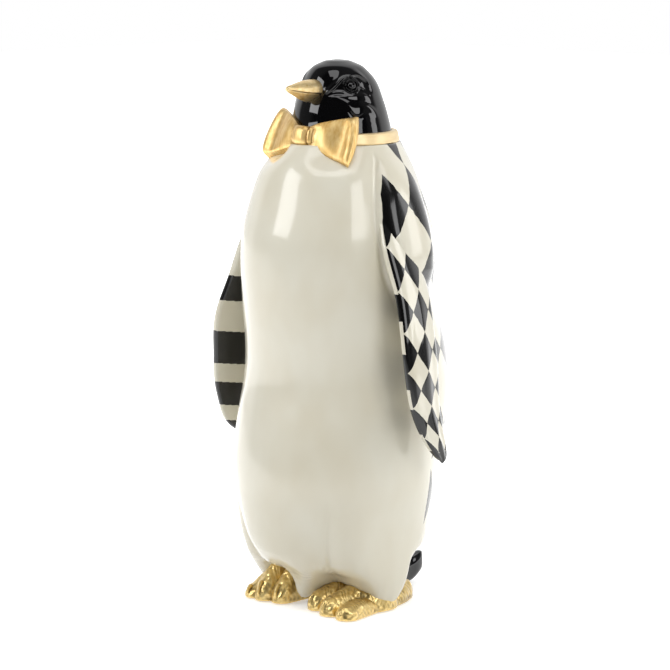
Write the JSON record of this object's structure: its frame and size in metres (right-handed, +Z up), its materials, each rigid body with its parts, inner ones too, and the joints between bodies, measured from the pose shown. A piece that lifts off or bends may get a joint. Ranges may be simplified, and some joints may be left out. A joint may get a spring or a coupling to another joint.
{
  "type": "penguin figurine",
  "caption": "Free-standing penguin ornament with a black head, gold beak, bow tie and feet, hanging flippers and an ivory body, for a shelf, hearth or table.",
  "frame": {"origin": "on the surface it stands on, under the middle of its bounding box", "axes": "+Z up, the bird faces -Y, its left side is +X"},
  "size_m": [0.2182, 0.1774, 0.42],
  "materials": {
    "ivory_glaze": "cast resin, ivory enamel with patterned back, gloss lacquer",
    "black_gloss": "cast resin, black enamel, gloss lacquer",
    "gold_leaf": "cast resin, gold leaf and size, clear lacquer",
    "felt": "dark felt",
    "dowel": "plain birch"
  },
  "bodies": {
    "root": {"body_casting": "ivory_glaze", "head_casting": "black_gloss", "beak": "gold_leaf", "collar_band": "gold_leaf", "bow_tie": "gold_leaf", "flipper_left": "ivory_glaze", "flipper_right": "ivory_glaze", "foot_left": "gold_leaf", "foot_right": "gold_leaf", "tail": "black_gloss", "base_plug": "ivory_glaze", "foot_pad_left": "felt", "foot_pad_right": "felt", "neck_pin": "dowel", "beak_pin": "dowel", "bow_pin": "dowel", "tail_pin": "dowel", "flipper_pins": "dowel", "foot_pins": "dowel"}
  },
  "joints": []
}
